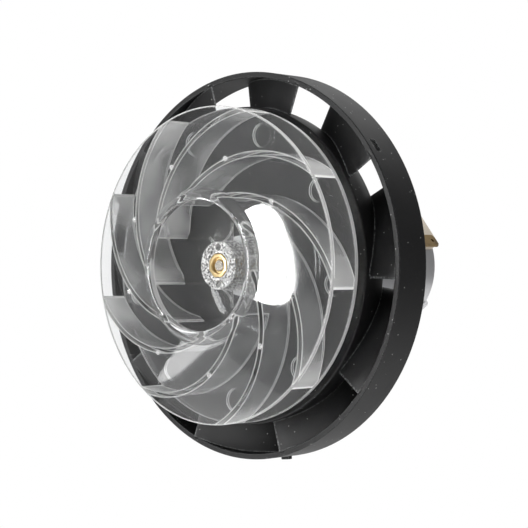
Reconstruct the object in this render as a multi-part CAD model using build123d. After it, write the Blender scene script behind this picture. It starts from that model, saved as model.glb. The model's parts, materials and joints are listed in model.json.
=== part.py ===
from build123d import *
import os
from math import asin, cos, degrees, radians, sin, sqrt

# The unit is drawn standing on its motor axis with the inlet up. Heights are measured
# forward from the rear face of the diffuser's rim, and angles run counter-clockwise from
# +X as seen from the inlet. At export it is laid down: the inlet faces -Y and +Z is up.

# Fits shared by the pieces
cut_overrun = 1.0  # how far a cutting shape runs past the face that it opens
slip_gap = 0.15  # between fixed pieces that slide together
hole_play = 0.15  # radial, between a screw's shank and a plain hole
end_gap = 0.9  # between the shaft's rear end and the floor of its bearing pocket

# Diffuser
rim_wall = 2.4
rim_height = 17.3
rim_edge_bevel = 0.5
vane_passage = 12.2  # radial width between the drum's front and the rim
drum_overhang = 1.0  # the drum is this much larger than the impeller
drum_draw = 8.0  # the drum is this much smaller at its rear
drum_wall = 2.2
drum_rise = 2.2  # the drum's front stands this far in front of the rim
drum_straight = 5.0  # straight length of the drum before it draws in
drum_edge_bevel = 0.8
drum_step_shares = (1.0, 0.7, 0.35, 0.0)  # where the drum's curve bends, as shares of its height
disc_t = 2.5
vane_count = 10
vane_lead_angle = 69.0
vane_sweep = 30.0  # degrees from the leading to the trailing edge
vane_curve = 1.8  # how strongly a vane turns axial towards the rear
vane_front_t = 0.7
vane_rear_t = 1.8
vane_station_shares = (0.0, 0.15, 0.4, 0.7, 1.0)
recess_angle = 36.0
recess_length = 6.0
recess_width = 3.0
recess_depth = 0.6
recess_from_front = 3.0
lug_angle = -85.0
lug_width = 4.0
lug_reach = 1.4  # outside the rim
lug_drop = 2.4  # behind the rim's rear face
screw_boss_r = 4.0
screw_boss_length = 8.0
screw_circle_r = 30.0

# Impeller
impeller_r = 65.0
impeller_gap = 3.7  # between the diffuser's disc and the back plate
plate_t = 2.0
outlet_width = 12.3
shroud_t = 1.8
eye_r = 26.7
eye_rise = 7.8  # the inlet collar stands this far in front of the shroud's outer edge
collar_t = 2.6
collar_length = 3.0
collar_round = 1.1
shroud_slope_share = 0.66  # part of the eye's rise that the cone takes up
blade_count = 9
blade_t = 1.7
blade_setback = 0.7  # the blades start this far outside the eye
blade_middle_r = 47.9
blade_tip_angle = 73.7  # where the first blade meets the outer edge
blade_middle_turn = 32.2
blade_inner_turn = 82.0
blade_corner_r = 1.8
hub_r = 9.9
hub_rise = 8.6
hub_tail = 1.9
spanner_hole_r = 1.6
spanner_circle_r = 7.6
spanner_depth = 5.0
gusset_angles = (90.0, 138.0, 270.0, 318.0)
gusset_length = 7.5
gusset_rise = 6.5
gusset_t = 1.1
insert_r = 5.2
insert_side_count = 8
insert_proud = 0.3
insert_tail = 0.8
insert_mouth_r = 3.3
insert_mouth_depth = 1.4
shaft_nose_back = 0.7  # the shaft's end lies this far inside the insert's mouth

# Shaft and bearings
shaft_nose_r = 2.5
shaft_middle_r = 4.0
shaft_end_bevel = 0.4
bearing_bore_r = 3.5
bearing_r = 9.5
bearing_w = 6.0
bearing_ring_t = 1.75
shield_t = 0.25
shield_inset = 0.1
shield_gap = 0.15
spacer_r = 4.6
preload_t = 0.4
preload_width = 1.6
preload_rise = 0.8

# Front bracket
bracket_boss_r = 12.5
bracket_boss_lip = 3.0
boss_below_disc = 0.2
spider_t = 3.5
spider_hub_r = 20.0
spider_arm_half = 13.4
spider_spoke_half = 6.0
front_bearing_rise = 3.0  # the bearing's front face above the spider's front face
pocket_skirt = 4.0  # the pocket's wall runs this far behind the bearing
post_r = 4.3
post_length = 13.5

# Field
core_r = 38.0
core_flat = 33.0
core_length = 28.0
bore_r = 20.4
shoe_t = 1.8
shoe_half_angle = 60.0
slot_r = 29.5
pole_half = 12.0
brush_angle = 38.0
bolt_circle_r = 34.0
bolt_half_angle = 16.0
bolt_r = 2.0
bolt_head_r = 3.5
bolt_head_t = 3.0
bolt_grip = 9.0
insulator_t = 1.0
coil_gap = 0.4
coil_turn_t = 6.0
coil_half_angle = 84.0
coil_bevel = 1.5

# Armature and commutator
air_gap = 0.4
armature_slot_count = 12
slot_round_r = 2.7
slot_side_count = 8
slot_mouth = 2.0
slot_depth = 4.4
wire_gap = 0.15
wire_run_in = 1.5  # the slot wires run this far into the end turns
tube_t = 0.8
tube_ahead = 4.5
end_turn_length = 7.5
end_turn_inset = 1.8
lead_cone_length = 14.5
commutator_r = 11.0
commutator_length = 15.0
bar_count = 24
bar_gap = 0.5
bar_depth = 3.0
riser_rise = 1.3
riser_w = 2.0

# Brushes
brush_w = 6.2
brush_h = 10.2
brush_length = 12.0
brush_contact_gap = 0.15
brush_play = 0.15
brush_tube_wall = 0.6
brush_tube_start = 12.7
brush_behind_riser = 6.0  # from the risers to the middle of the brush
holder_start = 13.6
holder_reach = 30.6
holder_half = 10.7
holder_ahead = 9.0
holder_behind = 18.2
holder_edge_bevel = 1.2
holder_screw_u = 21.0
holder_screw_t = 7.6
small_screw_r = 1.5
small_head_r = 2.7
small_head_t = 1.8
small_screw_grip = 7.0
spring_r = 2.2
spring_wire_r = 0.35
spring_turn_count = 4
tab_t = 0.8
tab_w = 6.3
tab_length = 10.5
tab_offset = 10.0
tab_corner = 1.3
tab_hole_r = 0.9
tab_hole_from_end = 3.2
tab_base_half = 4.6
tab_base_length = 12.4
tab_neck = 7.5

# Rear bracket
cup_r = 28.0
cup_wall = 2.6
cup_floor_t = 2.6
cup_length = 24.0
cup_edge_bevel = 1.5
rear_boss_r = 12.5
rear_boss_length = 4.0  # behind the cup's floor
rear_pocket_skirt = 3.0
vent_inner_r = 15.5
vent_outer_r = 23.5
vent_half_angle = 18.0
vent_angles = (60.0, 120.0, 240.0, 300.0)  # counted from the brushes' line
arm_foot_t = 5.5
arm_foot_half = 13.4
arm_top_half = 8.2
arm_proud = 0.6
arm_waist_share = 0.45
foot_inner_r = 30.3

# Heights and radii that follow
blade_inner_r = eye_r + blade_setback
drum_front_r = impeller_r + drum_overhang
drum_rear_r = drum_front_r - drum_draw
disc_front_h = rim_height + drum_rise
disc_back_h = disc_front_h - disc_t
rim_inner_r = drum_front_r + vane_passage
rim_r = rim_inner_r + rim_wall
plate_back_h = disc_front_h + impeller_gap
plate_front_h = plate_back_h + plate_t
shroud_edge_back_h = plate_front_h + outlet_width
shroud_edge_h = shroud_edge_back_h + shroud_t
eye_front_h = shroud_edge_h + eye_rise
hub_front_h = plate_front_h + hub_rise
insert_front_h = hub_front_h + insert_proud
insert_back_h = plate_back_h - hub_tail - insert_tail
spider_front_h = disc_back_h - screw_boss_length
spider_back_h = spider_front_h - spider_t
front_bearing_h = spider_front_h + front_bearing_rise
core_front_h = spider_back_h - post_length
core_back_h = core_front_h - core_length
armature_r = bore_r - air_gap
tube_r = shaft_middle_r + tube_t
commutator_front_h = core_back_h - lead_cone_length
commutator_back_h = commutator_front_h - commutator_length
brush_middle_h = commutator_front_h - riser_w - brush_behind_riser
pole_angle = brush_angle + 90.0
cup_floor_front_h = brush_middle_h - holder_behind
cup_back_h = cup_floor_front_h - cup_floor_t
rear_bearing_h = cup_floor_front_h + bearing_w - cup_floor_t
rear_pocket_floor_h = rear_bearing_h - bearing_w - preload_t - preload_rise
rear_boss_back_h = cup_back_h - rear_boss_length
bolt_angles = [pole_angle + turn + side * bolt_half_angle for turn in (0.0, 180.0) for side in (-1, 1)]
screw_angles = [brush_angle + 90.0 * quarter for quarter in range(4)]


def polar(radius, angle):
    """A point in the plan, from its radius and its angle in degrees."""
    return (radius * cos(radians(angle)), radius * sin(radians(angle)))


def turned(*outline):
    """A solid of revolution about the motor axis from an outline of (radius, height) points."""
    return revolve(Plane.XZ * make_face(Polyline(*outline, close=True)), Axis.Z)


def ring(outer_r, inner_r, low, high):
    """A plain ring between two heights."""
    return Pos(0, 0, low) * extrude(Circle(outer_r) - Circle(inner_r), high - low)


def rod(radius, low, high):
    """A plain round bar between two heights."""
    return Pos(0, 0, low) * extrude(Circle(radius), high - low)


def around(piece, angles):
    """Copies of a piece at the given angles about the motor axis."""
    return [Rot(0, 0, angle) * piece for angle in angles]


def spaced(count, first=0.0):
    """Angles of evenly spaced copies."""
    return [first + 360.0 * number / count for number in range(count)]


def slab(u_low, u_high, half_width, low, high):
    """A block that points along +X, from one distance to another, between two heights."""
    return Pos((u_low + u_high) / 2, 0, (low + high) / 2) * Box(u_high - u_low, 2 * half_width, high - low)


def sector(outer_r, inner_r, half_angle):
    """A flat ring sector centred on +X."""
    reach = 2 * outer_r
    edges = [polar(reach, side * half_angle * step) for side, step in ((-1, 1), (-1, 0.5), (1, 0.5), (1, 1))]
    wedge = make_face(Polyline((0, 0), *edges, close=True))
    return (Circle(outer_r) - Circle(inner_r)) & wedge


def drum_surface_r(height):
    """Radius of the drum's outer surface at a height."""
    straight_h = disc_front_h - drum_straight
    if height >= straight_h:
        return drum_front_r
    draw = drum_front_r - drum_rear_r
    arc_r = (draw**2 + straight_h**2) / (2 * draw)
    return drum_front_r - arc_r + sqrt(arc_r**2 - (straight_h - height) ** 2)


def vane_angle(share):
    """How far a vane has turned, in degrees, at a share of its way to the rear."""
    return vane_sweep * (1 - (1 - share) ** vane_curve)


def diffuser_vane():
    """One curved vane, lofted through flat sections between the drum and the rim."""
    sections = []
    middle_r = (drum_front_r + rim_inner_r) / 2
    for share in vane_station_shares:
        height = rim_height * (1 - share)
        slope = radians(vane_sweep) * vane_curve * (1 - share) ** (vane_curve - 1) * middle_r / rim_height
        thickness = vane_front_t + (vane_rear_t - vane_front_t) * share
        width = thickness * sqrt(1 + slope**2)
        inner = drum_surface_r(height) - drum_wall / 2
        outer = rim_inner_r + rim_wall / 2
        place = Rot(0, 0, vane_lead_angle + vane_angle(share)) * Pos((inner + outer) / 2, 0, height)
        sections.append(place * Rectangle(outer - inner, width))
    return loft(sections)


def diffuser():
    """Black moulding: front disc and drum, outer rim, and the curved vanes between them."""
    straight_h = disc_front_h - drum_straight
    inner_front_r = drum_front_r - drum_wall
    hole_r = bracket_boss_r + slip_gap
    outer_curve = [(drum_surface_r(straight_h * share), straight_h * share) for share in drum_step_shares]
    inner_curve = [(radius - drum_wall, height) for radius, height in reversed(outer_curve)]
    drum = turned((hole_r, disc_front_h), (drum_front_r - drum_edge_bevel, disc_front_h),
                  (drum_front_r, disc_front_h - drum_edge_bevel), *outer_curve, *inner_curve,
                  (inner_front_r, disc_back_h), (hole_r, disc_back_h))
    rim = ring(rim_r, rim_inner_r, 0, rim_height)
    rim = chamfer(rim.edges().group_by(Axis.Z)[-1], rim_edge_bevel)
    gap_angle = vane_lead_angle + (vane_sweep + 360.0 / vane_count) / 2
    recess_h = rim_height - recess_from_front - recess_width / 2
    recess = Pos(rim_r, 0, recess_h) * Box(2 * recess_depth, recess_length, recess_width)
    lug = slab(rim_r - rim_wall / 2, rim_r + lug_reach, lug_width / 2, -lug_drop, 0)
    boss_plan = Circle(screw_boss_r) - Circle(small_screw_r)
    boss = Pos(screw_circle_r, 0, spider_front_h) * extrude(boss_plan, screw_boss_length)
    body = Rot(0, 0, gap_angle) * drum + Rot(0, 0, gap_angle) * rim + Rot(0, 0, lug_angle) * lug
    body += around(diffuser_vane(), spaced(vane_count))
    body -= Rot(0, 0, recess_angle) * recess
    return body + around(boss, screw_angles)


def blade_line():
    """The curved centre line of the first blade, from beyond the outer edge to its nose."""
    outer = Vector(*polar(impeller_r, blade_tip_angle))
    middle = Vector(*polar(blade_middle_r, blade_tip_angle + blade_middle_turn))
    inner = Vector(*polar(blade_inner_r, blade_tip_angle + blade_inner_turn))
    arc = ThreePointArc(outer, middle, inner)
    beyond = outer - (arc % 0) * (2 * blade_t)
    return Curve() + [Line(beyond, outer), arc]


def impeller_shroud():
    """Clear front moulding: sloping shroud, rounded inlet collar and the curved blades."""
    collar_r = eye_r + collar_t
    slope_top_r = collar_r + collar_t
    cone_h = shroud_edge_h + eye_rise * shroud_slope_share
    cone_back_h = cone_h - shroud_t
    beyond_r = impeller_r + cut_overrun
    front_fall = cut_overrun * (cone_h - shroud_edge_h) / (impeller_r - slope_top_r)
    back_fall = cut_overrun * (cone_back_h - shroud_edge_back_h) / (impeller_r - collar_r)
    outline = Plane.XZ * make_face(Polyline(
        (beyond_r, shroud_edge_back_h - back_fall), (beyond_r, shroud_edge_h - front_fall),
        (slope_top_r, cone_h), (collar_r, eye_front_h), (eye_r, eye_front_h), (eye_r, eye_front_h - collar_length),
        (collar_r, cone_back_h), close=True))
    corners = outline.vertices().sort_by(Axis.Z)[-2:]
    shroud = revolve(fillet(corners, collar_round), Axis.Z)
    passage = Plane.XZ * make_face(Polyline(
        (blade_inner_r, plate_front_h), (beyond_r, plate_front_h),
        (beyond_r, shroud_edge_back_h + shroud_t / 2), (collar_r, cone_back_h + shroud_t / 2),
        (blade_inner_r, eye_front_h - collar_length / 2), close=True))
    corner = passage.vertices().sort_by(Axis.Z)[:2].sort_by(Axis.X)[0]
    passage = revolve(fillet(corner, blade_corner_r), Axis.Z)
    strip = trace(blade_line(), blade_t)
    blade = Pos(0, 0, plate_front_h) * extrude(strip, eye_front_h - plate_front_h) & passage
    body = shroud + around(blade, spaced(blade_count))
    return body & rod(impeller_r, 0, 2 * eye_front_h)


def hub_insert_body():
    """The insert's outside, with its flats, before it is bored."""
    flats = RegularPolygon(insert_r, insert_side_count)
    return Pos(0, 0, insert_back_h) * extrude(flats, insert_front_h - insert_back_h)


def impeller_back_plate():
    """Clear rear plate with the hub boss, its gussets and the two spanner holes."""
    plate = rod(impeller_r, plate_back_h, plate_front_h)
    hub = rod(hub_r, plate_back_h - hub_tail, hub_front_h)
    gusset = Plane.XZ * make_face(Polyline(
        (hub_r - gusset_t, plate_front_h - plate_t / 2),
        (hub_r + gusset_length, plate_front_h - plate_t / 2), (hub_r + gusset_length, plate_front_h), (hub_r + gusset_t, plate_front_h + gusset_rise / 2),
        (hub_r - gusset_t, plate_front_h + gusset_rise), close=True))
    rib = extrude(gusset, gusset_t / 2, both=True)
    hole_floor_h = hub_front_h - spanner_depth
    spanner_hole = Pos(spanner_circle_r, 0, 0) * rod(spanner_hole_r, hole_floor_h, hub_front_h + cut_overrun)
    body = plate + hub + around(rib, gusset_angles)
    return body - around(spanner_hole, (90.0, 270.0)) - hub_insert_body()


def impeller_hub_insert():
    """Brass insert that screws on the shaft's nose."""
    mouth = rod(insert_mouth_r, insert_front_h - insert_mouth_depth, insert_front_h + cut_overrun)
    bore = rod(shaft_nose_r, insert_back_h - cut_overrun, insert_front_h)
    return hub_insert_body() - mouth - bore


def shaft():
    """Stepped shaft, from the insert to the rear bearing."""
    nose_h = insert_front_h - shaft_nose_back
    rear_shoulder_h = rear_bearing_h
    front_shoulder_h = front_bearing_h - bearing_w
    end_h = rear_pocket_floor_h + end_gap
    return turned(
        (0, end_h), (bearing_bore_r - shaft_end_bevel, end_h), (bearing_bore_r, end_h + shaft_end_bevel),
        (bearing_bore_r, rear_shoulder_h), (shaft_middle_r, rear_shoulder_h),
        (shaft_middle_r, front_shoulder_h), (bearing_bore_r, front_shoulder_h),
        (bearing_bore_r, front_bearing_h), (shaft_nose_r, front_bearing_h),
        (shaft_nose_r, nose_h - shaft_end_bevel), (shaft_nose_r - shaft_end_bevel, nose_h), (0, nose_h))


def spacer_sleeve():
    """Steel sleeve between the front bearing and the hub insert."""
    return ring(spacer_r, shaft_nose_r, front_bearing_h, insert_back_h)


def bearing_inner_ring(front_h):
    """Inner ring of a shielded ball bearing whose front face is at a height."""
    return ring(bearing_bore_r + bearing_ring_t, bearing_bore_r, front_h - bearing_w, front_h)


def bearing_outer_ring(front_h):
    """Outer ring of a shielded ball bearing whose front face is at a height."""
    return ring(bearing_r, bearing_r - bearing_ring_t, front_h - bearing_w, front_h)


def bearing_shields(front_h):
    """The two thin shields of a bearing."""
    outer_r = bearing_r - bearing_ring_t
    inner_r = bearing_bore_r + bearing_ring_t + shield_gap
    front = ring(outer_r, inner_r, front_h - shield_inset - shield_t, front_h - shield_inset)
    back_h = front_h - bearing_w + shield_inset
    return Compound([front, ring(outer_r, inner_r, back_h, back_h + shield_t)])


def preload_washer():
    """Coned spring washer that loads the rear bearing."""
    ring_h = rear_bearing_h - bearing_w
    outer_r = bearing_r - slip_gap
    inner_r = outer_r - preload_width
    return turned((outer_r, ring_h), (outer_r, ring_h - preload_t),
                  (inner_r, ring_h - preload_t - preload_rise), (inner_r, ring_h - preload_rise))


def front_bracket():
    """Die-cast bracket: bearing boss, spider and the posts that reach the field core."""
    boss_back_h = front_bearing_h - bearing_w - pocket_skirt
    arm_reach = bolt_circle_r + post_r
    arms = slab(-arm_reach, arm_reach, spider_arm_half, spider_back_h, spider_front_h)
    spoke_reach = screw_circle_r + screw_boss_r
    spokes = slab(-spoke_reach, spoke_reach, spider_spoke_half, spider_back_h, spider_front_h)
    body = rod(spider_hub_r, spider_back_h, spider_front_h) + Rot(0, 0, brush_angle) * spokes
    body += (Rot(0, 0, pole_angle) * arms) & rod(arm_reach, spider_back_h, spider_front_h)
    body += rod(bracket_boss_r, boss_back_h, disc_front_h - boss_below_disc)
    post = Pos(bolt_circle_r, 0, 0) * rod(post_r, core_front_h, spider_front_h)
    body += around(post, bolt_angles)
    body -= rod(bearing_r, boss_back_h - cut_overrun, front_bearing_h)
    body -= rod(bearing_r - bracket_boss_lip, boss_back_h, disc_front_h)
    thread = Pos(bolt_circle_r, 0, 0) * rod(bolt_r, core_front_h - cut_overrun, core_front_h + bolt_grip)
    screw_bore = rod(small_screw_r + hole_play, spider_back_h - cut_overrun, spider_front_h + cut_overrun)
    screw_hole = Pos(screw_circle_r, 0, 0) * screw_bore
    return body - around(thread, bolt_angles) - around(screw_hole, screw_angles)


def diffuser_screws():
    """Four screws from behind the bracket into the diffuser's bosses."""
    shank = rod(small_screw_r, spider_back_h, spider_front_h + small_screw_grip)
    head = rod(small_head_r, spider_back_h - small_head_t, spider_back_h)
    return Compound(around(Pos(screw_circle_r, 0, 0) * (shank + head), screw_angles))


def core_plan():
    """Flat outline of the field core: yoke, two poles and their shoes."""
    shoe_r = bore_r + shoe_t
    outline = Circle(core_r) & Rectangle(2 * core_r, 2 * core_flat)
    yoke = outline - Circle(slot_r)
    poles = Rectangle(2 * slot_r + slip_gap, 2 * pole_half)
    shoe = sector(shoe_r, bore_r, shoe_half_angle)
    plan = yoke + poles + shoe + Rot(0, 0, 180) * shoe - Circle(bore_r)
    return plan


def field_core():
    """Laminated two-pole core, clamped by four bolts."""
    body = Pos(0, 0, core_back_h) * extrude(Rot(0, 0, pole_angle) * core_plan(), core_length)
    bolt_bore = rod(bolt_r + hole_play, core_back_h - cut_overrun, core_front_h + cut_overrun)
    hole = Pos(bolt_circle_r, 0, 0) * bolt_bore
    return body - around(hole, bolt_angles)


def field_insulator(low):
    """Insulating end plate on the pole faces of the core."""
    plan = core_plan() & Circle(slot_r)
    return Pos(0, 0, low) * extrude(Rot(0, 0, pole_angle) * plan, insulator_t)


def field_coil(angle):
    """One field winding: a curved bundle with a window for its pole."""
    turns_h = core_length / 2 + insulator_t + coil_turn_t
    middle_h = (core_front_h + core_back_h) / 2
    plan = sector(slot_r - coil_gap, bore_r + shoe_t + coil_gap, coil_half_angle)
    bundle = extrude(plan, turns_h, both=True)
    outer_edges = bundle.edges().filter_by(GeomType.CIRCLE).sort_by(lambda edge: edge.radius)[-2:]
    bundle = chamfer(outer_edges, coil_bevel)
    window = Box(4 * slot_r, 2 * (pole_half + coil_gap), core_length + 2 * insulator_t)
    return Rot(0, 0, angle) * Pos(0, 0, middle_h) * (bundle - window)


def through_bolts():
    """Four long screws from the rear bracket's feet into the front posts."""
    seat_h = core_back_h - arm_foot_t
    shank = rod(bolt_r, seat_h, core_front_h + bolt_grip)
    head = rod(bolt_head_r, seat_h - bolt_head_t, seat_h)
    return Compound(around(Pos(bolt_circle_r, 0, 0) * (shank + head), bolt_angles))


def armature_core():
    """Laminated rotor core with half-closed slots."""
    centre_r = armature_r - slot_depth
    mouth = Pos(armature_r - slot_depth / 2, 0) * Rectangle(slot_depth + cut_overrun, slot_mouth)
    slot = Pos(centre_r, 0) * RegularPolygon(slot_round_r, slot_side_count) + mouth
    plan = Circle(armature_r) - Circle(tube_r) - around(slot, spaced(armature_slot_count))
    return Pos(0, 0, core_back_h) * extrude(plan, core_length)


def armature_winding():
    """Copper in the slots, the end turns and the cone of leads to the commutator."""
    outer_r = armature_r - end_turn_inset
    lead_r = commutator_r + riser_rise
    shoulder = end_turn_length / 2
    front_end_h = core_front_h + end_turn_length
    front = turned((tube_r, core_front_h), (outer_r, core_front_h), (outer_r, core_front_h + shoulder),
                   (outer_r - shoulder, front_end_h), (tube_r, front_end_h))
    back = turned((tube_r, core_back_h), (outer_r, core_back_h), (outer_r, core_back_h - shoulder),
                  (outer_r - end_turn_inset, core_back_h - end_turn_length),
                  (lead_r, commutator_front_h), (tube_r, commutator_front_h))
    wire = Pos(armature_r - slot_depth, 0, core_back_h - wire_run_in) * extrude(
        RegularPolygon(slot_round_r - wire_gap, slot_side_count), core_length + 2 * wire_run_in)
    return front + back + around(wire, spaced(armature_slot_count))


def shaft_insulator():
    """Insulating tube between the shaft and the windings."""
    return ring(tube_r, shaft_middle_r, commutator_front_h, core_front_h + end_turn_length + tube_ahead)


def commutator_hub():
    """Moulded hub that carries the commutator's bars."""
    return ring(commutator_r - bar_depth, shaft_middle_r, commutator_back_h, commutator_front_h)


def commutator_bars():
    """The copper bars with their risers, as separate solids."""
    half_angle = 180.0 / bar_count - degrees(asin(bar_gap / 2 / commutator_r))
    inner_r = commutator_r - bar_depth
    bar_plan = sector(commutator_r, inner_r, half_angle)
    bar = Pos(0, 0, commutator_back_h) * extrude(bar_plan, commutator_length)
    riser = extrude(sector(commutator_r + riser_rise, inner_r, half_angle), riser_w)
    bar += Pos(0, 0, commutator_front_h - riser_w) * riser
    return Compound(around(bar, spaced(bar_count)))


def carbon_brush():
    """Carbon block with a hollowed face that rides on the commutator."""
    face_r = commutator_r + brush_contact_gap
    half_h = brush_h / 2
    block = slab(0, face_r + brush_length, brush_w / 2, brush_middle_h - half_h, brush_middle_h + half_h)
    return block - rod(face_r, brush_middle_h - brush_h, brush_middle_h + brush_h)


def brush_tube():
    """Brass box tube that guides the brush."""
    half_w = brush_w / 2 + brush_play
    half_h = brush_h / 2 + brush_play
    outside = slab(brush_tube_start, holder_reach, half_w + brush_tube_wall,
                   brush_middle_h - half_h - brush_tube_wall, brush_middle_h + half_h + brush_tube_wall)
    inside = slab(0, 2 * holder_reach, half_w, brush_middle_h - half_h, brush_middle_h + half_h)
    return outside - inside


def brush_holder():
    """Insulating block that seats in the rear bracket's window."""
    half_w = brush_w / 2 + brush_play + brush_tube_wall
    half_h = brush_h / 2 + brush_play + brush_tube_wall
    block = slab(holder_start, holder_reach, holder_half, cup_floor_front_h, brush_middle_h + holder_ahead)
    block = chamfer(block.edges().filter_by(Axis.X).group_by(Axis.Z)[-1], holder_edge_bevel)
    tunnel = slab(0, 2 * holder_reach, half_w, brush_middle_h - half_h, brush_middle_h + half_h)
    pilot = rod(small_screw_r, cup_floor_front_h - cut_overrun, cup_floor_front_h + small_screw_grip)
    pilots = [Pos(holder_screw_u, side * holder_screw_t, 0) * pilot for side in (-1, 1)]
    return block - tunnel - pilots


def brush_holder_screws():
    """Two screws for each brush holder, from behind the cup's floor."""
    shank = rod(small_screw_r, cup_back_h, cup_floor_front_h + small_screw_grip)
    screw = shank + rod(small_head_r, cup_back_h - small_head_t, cup_back_h)
    pair = [Pos(holder_screw_u, side * holder_screw_t, 0) * screw for side in (-1, 1)]
    return Compound([Rot(0, 0, brush_angle + turn) * one for turn in (0.0, 180.0) for one in pair])


def brush_spring():
    """Coil spring between the brush and the terminal plate."""
    start = commutator_r + brush_contact_gap + brush_length + spring_wire_r
    travel = holder_reach - spring_wire_r - start
    path = Helix(travel / spring_turn_count, travel, spring_r)
    coil = sweep(Plane(origin=path @ 0, z_dir=path % 0) * RegularPolygon(spring_wire_r, 4), path, is_frenet=True)
    return Pos(start, 0, brush_middle_h) * Rot(0, 90, 0) * coil


def terminal():
    """Brass strip that closes the brush tube and carries the tab."""
    base_high = brush_middle_h + tab_base_length / 2
    base_low = brush_middle_h - tab_base_length / 2
    tab_end = base_low - tab_length
    left = -tab_offset - tab_w / 2
    right = -tab_offset + tab_w / 2
    outline = make_face(Polyline(
        (tab_base_half, base_low), (tab_base_half, base_high), (-tab_base_half, base_high),
        (-tab_base_half, base_low + tab_neck), (left, base_low + tab_neck), (left, tab_end + tab_corner),
        (left + tab_corner, tab_end), (right - tab_corner, tab_end), (right, tab_end + tab_corner),
        (right, base_low), close=True))
    outline -= Pos(-tab_offset, tab_end + tab_hole_from_end) * Circle(tab_hole_r)
    strip = extrude(outline, tab_t)
    face = Plane(origin=(holder_reach, 0, 0), x_dir=(0, 1, 0), z_dir=(1, 0, 0))
    return face * strip


def bracket_arm():
    """One arm of the rear bracket, from the cup to its foot on the core."""
    foot_h = core_back_h - arm_foot_t
    foot_r = bolt_circle_r + post_r
    top_r = cup_r + arm_proud
    inner_r = cup_r - cup_wall
    waist_h = foot_h + (cup_back_h - foot_h) * arm_waist_share
    waist_r = foot_r + (top_r - foot_r) * 2 * arm_waist_share
    profile = Plane.XZ * make_face(Polyline(
        (foot_inner_r, core_back_h), (foot_r, core_back_h), (foot_r, foot_h), (waist_r, waist_h),
        (top_r, cup_back_h + cup_edge_bevel), (top_r - cup_edge_bevel, cup_back_h), (inner_r, cup_back_h),
        (inner_r, waist_h), (foot_inner_r, foot_h), close=True))
    side = Plane.YZ * make_face(Polyline(
        (arm_foot_half, core_back_h), (arm_foot_half, foot_h),
        (arm_top_half, waist_h), (arm_top_half, cup_back_h),
        (-arm_top_half, cup_back_h), (-arm_top_half, waist_h),
        (-arm_foot_half, foot_h), (-arm_foot_half, core_back_h),
        close=True))
    body = extrude(profile, arm_foot_half, both=True) & extrude(side, 2 * cup_r)
    return body & rod(foot_r, cup_back_h, core_back_h)


def rear_bracket():
    """Die-cast end housing: cup with brush windows, bearing boss, vents and two arms."""
    cup = rod(cup_r, cup_back_h, cup_back_h + cup_length)
    cup = chamfer(cup.edges().group_by(Axis.Z)[0], cup_edge_bevel)
    cup += around(bracket_arm(), (pole_angle, pole_angle + 180.0))
    cup += rod(rear_boss_r, rear_boss_back_h, cup_floor_front_h)
    pocket_front_h = rear_bearing_h + rear_pocket_skirt
    beyond_h = core_back_h + cut_overrun
    window = slab(holder_start, 2 * cup_r, holder_half + slip_gap, cup_floor_front_h, beyond_h)
    cavity = rod(cup_r - cup_wall, cup_floor_front_h, beyond_h)
    cavity += around(window, (brush_angle, brush_angle + 180.0))
    cup -= cavity - rod(rear_boss_r, cup_floor_front_h - cut_overrun, pocket_front_h)
    cup -= rod(bearing_r, rear_pocket_floor_h, pocket_front_h + cut_overrun)
    vent_plan = sector(vent_outer_r, vent_inner_r, vent_half_angle)
    vent = Pos(0, 0, cup_back_h - cut_overrun) * extrude(vent_plan, cup_floor_t + 2 * cut_overrun)
    cup -= around(vent, [brush_angle + angle for angle in vent_angles])
    seat_h = core_back_h - arm_foot_t
    hole = rod(bolt_r + hole_play, seat_h - cut_overrun, beyond_h)
    counterbore = rod(bolt_head_r + hole_play, cup_back_h - cut_overrun, seat_h)
    cup -= around(Pos(bolt_circle_r, 0, 0) * (hole + counterbore), bolt_angles)
    screw_hole = rod(small_screw_r, cup_back_h - cut_overrun, cup_floor_front_h + cut_overrun)
    pair = [Pos(holder_screw_u, side * holder_screw_t, 0) * screw_hole for side in (-1, 1)]
    return cup - [Rot(0, 0, brush_angle + turn) * one for turn in (0.0, 180.0) for one in pair]


def both_sides(piece):
    """A brush-gear piece at its own side and at the far side."""
    return {"a": Rot(0, 0, brush_angle) * piece, "b": Rot(0, 0, brush_angle + 180.0) * piece}


def all_pieces():
    """Every piece of the unit by its node name."""
    pieces = {
        "diffuser": diffuser(),
        "diffuser_screws": diffuser_screws(),
        "front_bracket": front_bracket(),
        "field_core": field_core(),
        "field_coil_a": field_coil(pole_angle),
        "field_coil_b": field_coil(pole_angle + 180.0),
        "field_insulator_front": field_insulator(core_front_h),
        "field_insulator_rear": field_insulator(core_back_h - insulator_t),
        "through_bolts": through_bolts(),
        "rear_bracket": rear_bracket(),
        "brush_holder_screws": brush_holder_screws(),
        "preload_washer": preload_washer(),
        "impeller_shroud": impeller_shroud(),
        "impeller_back_plate": impeller_back_plate(),
        "impeller_hub_insert": impeller_hub_insert(),
        "shaft": shaft(),
        "spacer_sleeve": spacer_sleeve(),
        "shaft_insulator": shaft_insulator(),
        "armature_core": armature_core(),
        "armature_winding": armature_winding(),
        "commutator_hub": commutator_hub(),
        "commutator_bars": commutator_bars(),
    }
    for place, front_h in (("front", front_bearing_h), ("rear", rear_bearing_h)):
        pieces[f"{place}_bearing_inner_ring"] = bearing_inner_ring(front_h)
        pieces[f"{place}_bearing_outer_ring"] = bearing_outer_ring(front_h)
        pieces[f"{place}_bearing_shields"] = bearing_shields(front_h)
    brush_gear = {
        "carbon_brush": carbon_brush(),
        "brush_tube": brush_tube(),
        "brush_holder": brush_holder(),
        "brush_spring": brush_spring(),
        "terminal": terminal(),
    }
    for name, piece in brush_gear.items():
        for side, placed in both_sides(piece).items():
            pieces[f"{name}_{side}"] = placed
    return pieces


os.makedirs("parts", exist_ok=True)
for name, piece in all_pieces().items():
    export_step(Rot(90, 0, 0) * piece, f"parts/{name}.step")
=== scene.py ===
"""Dresses the vacuum motor unit: a clear fan wheel, its black diffuser ring and the motor behind them."""

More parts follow.
